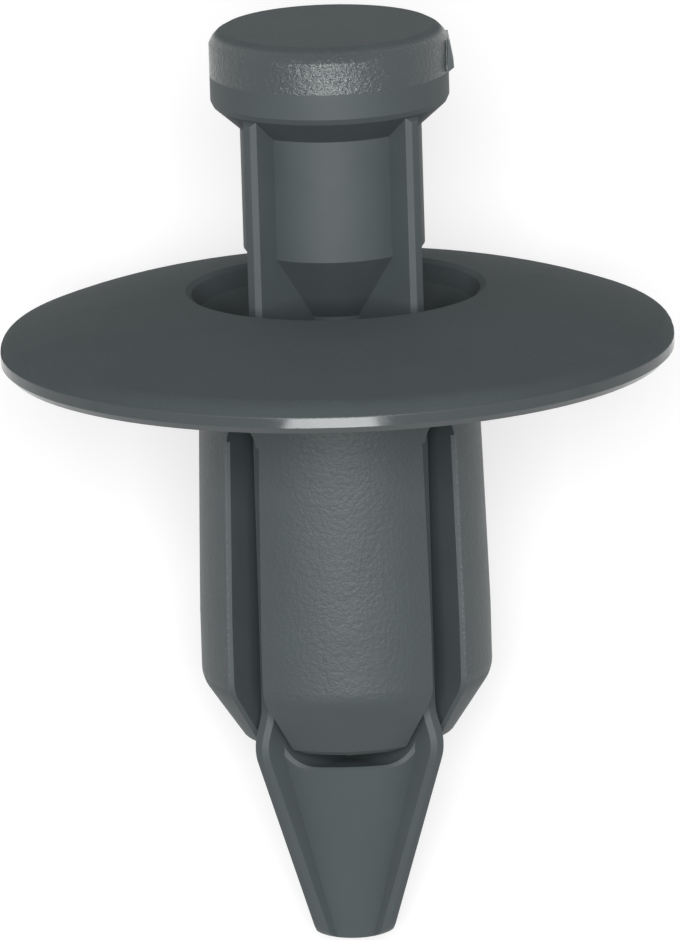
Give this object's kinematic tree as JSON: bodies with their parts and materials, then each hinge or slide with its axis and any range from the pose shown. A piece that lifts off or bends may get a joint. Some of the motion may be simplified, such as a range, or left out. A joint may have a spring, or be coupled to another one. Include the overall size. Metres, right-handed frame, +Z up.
{
  "type": "plastic push rivet",
  "caption": "Push-in panel rivet: a split grommet with a wide domed flange and a finned pin that is pressed home to lock its legs.",
  "frame": {"origin": "centre of the bounding box at its base: the point of the ground under the middle of the lying rivet", "axes": "+Z up from the ground that it lies on; the rivet's own axis runs in the YZ plane, its head towards +Y and raised, its tip towards -Y on the ground; +X across, on the side of the head's pry lug"},
  "size_m": [0.02, 0.0266, 0.018],
  "materials": {
    "grommet": "fine moulded grain, satin, dark slate grey",
    "pin": "smooth moulded, satin, dark slate grey"
  },
  "bodies": {
    "grommet": {"grommet": "grommet"},
    "pin": {"pin": "pin"}
  },
  "joints": [
    {"name": "pin_slide", "type": "slide", "parent": "grommet", "child": "pin", "axis": [0, -0.8931, -0.4498], "range_m": [-0.0004, 0.0079]}
  ]
}
